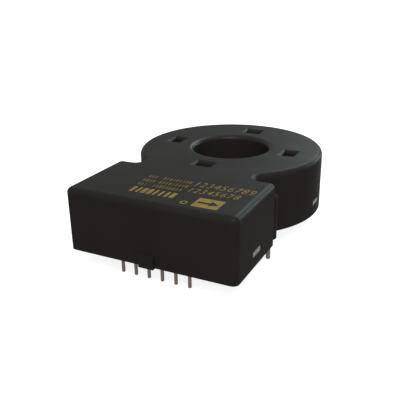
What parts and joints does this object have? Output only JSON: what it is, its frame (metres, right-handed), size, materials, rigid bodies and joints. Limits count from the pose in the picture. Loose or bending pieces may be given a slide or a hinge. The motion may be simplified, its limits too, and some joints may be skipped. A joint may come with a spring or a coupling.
{
  "type": "fluxgate residual current sensor",
  "caption": "Flat black sensor for a circuit board: a box with a row of pins, joined to a ring whose bore takes the conductors to be watched for leakage current.",
  "frame": {"origin": "where the axis of the conductor bore meets the face of the circuit board that carries the sensor", "axes": "+Z along the bore axis, away from the board; +Y from the box with the pins towards the ring"},
  "size_m": [0.036, 0.0515, 0.0147],
  "materials": {
    "case_plastic": "black moulded plastic, fine satin grain",
    "base_plastic": "pale grey moulded plastic",
    "pin_metal": "tinned brass, satin",
    "strip_plastic": "black moulded plastic",
    "board_laminate": "green solder mask",
    "shield_metal": "annealed nickel-iron sheet",
    "winding_wire": "enamelled copper wire",
    "core_case_plastic": "natural nylon",
    "core_ribbon": "wound magnetic ribbon",
    "silicone": "black silicone",
    "package_epoxy": "moulded epoxy",
    "tantalum_epoxy": "moulded epoxy",
    "chip_ceramic": "ceramic"
  },
  "bodies": {
    "root": {"case": "case_plastic", "base_plate": "base_plastic", "signal_pin_1": "pin_metal", "signal_pin_2": "pin_metal", "signal_pin_3": "pin_metal", "signal_pin_4": "pin_metal", "signal_pin_5": "pin_metal", "signal_pin_6": "pin_metal", "mounting_pin_left": "pin_metal", "mounting_pin_right": "pin_metal", "pin_strip": "strip_plastic", "circuit_board": "board_laminate", "shield_lower": "shield_metal", "shield_upper": "shield_metal", "feedback_winding": "winding_wire", "excitation_winding": "winding_wire", "core_case_lower": "core_case_plastic", "core_case_upper": "core_case_plastic", "sensor_core": "core_ribbon", "bonding_plugs": "silicone", "winding_leads": "winding_wire", "control_ic": "package_epoxy", "amplifier_ic": "package_epoxy", "voltage_regulator": "package_epoxy", "burden_resistor": "package_epoxy", "tantalum_capacitor": "tantalum_epoxy", "chip_capacitors": "chip_ceramic", "chip_resistors": "package_epoxy"}
  },
  "joints": []
}
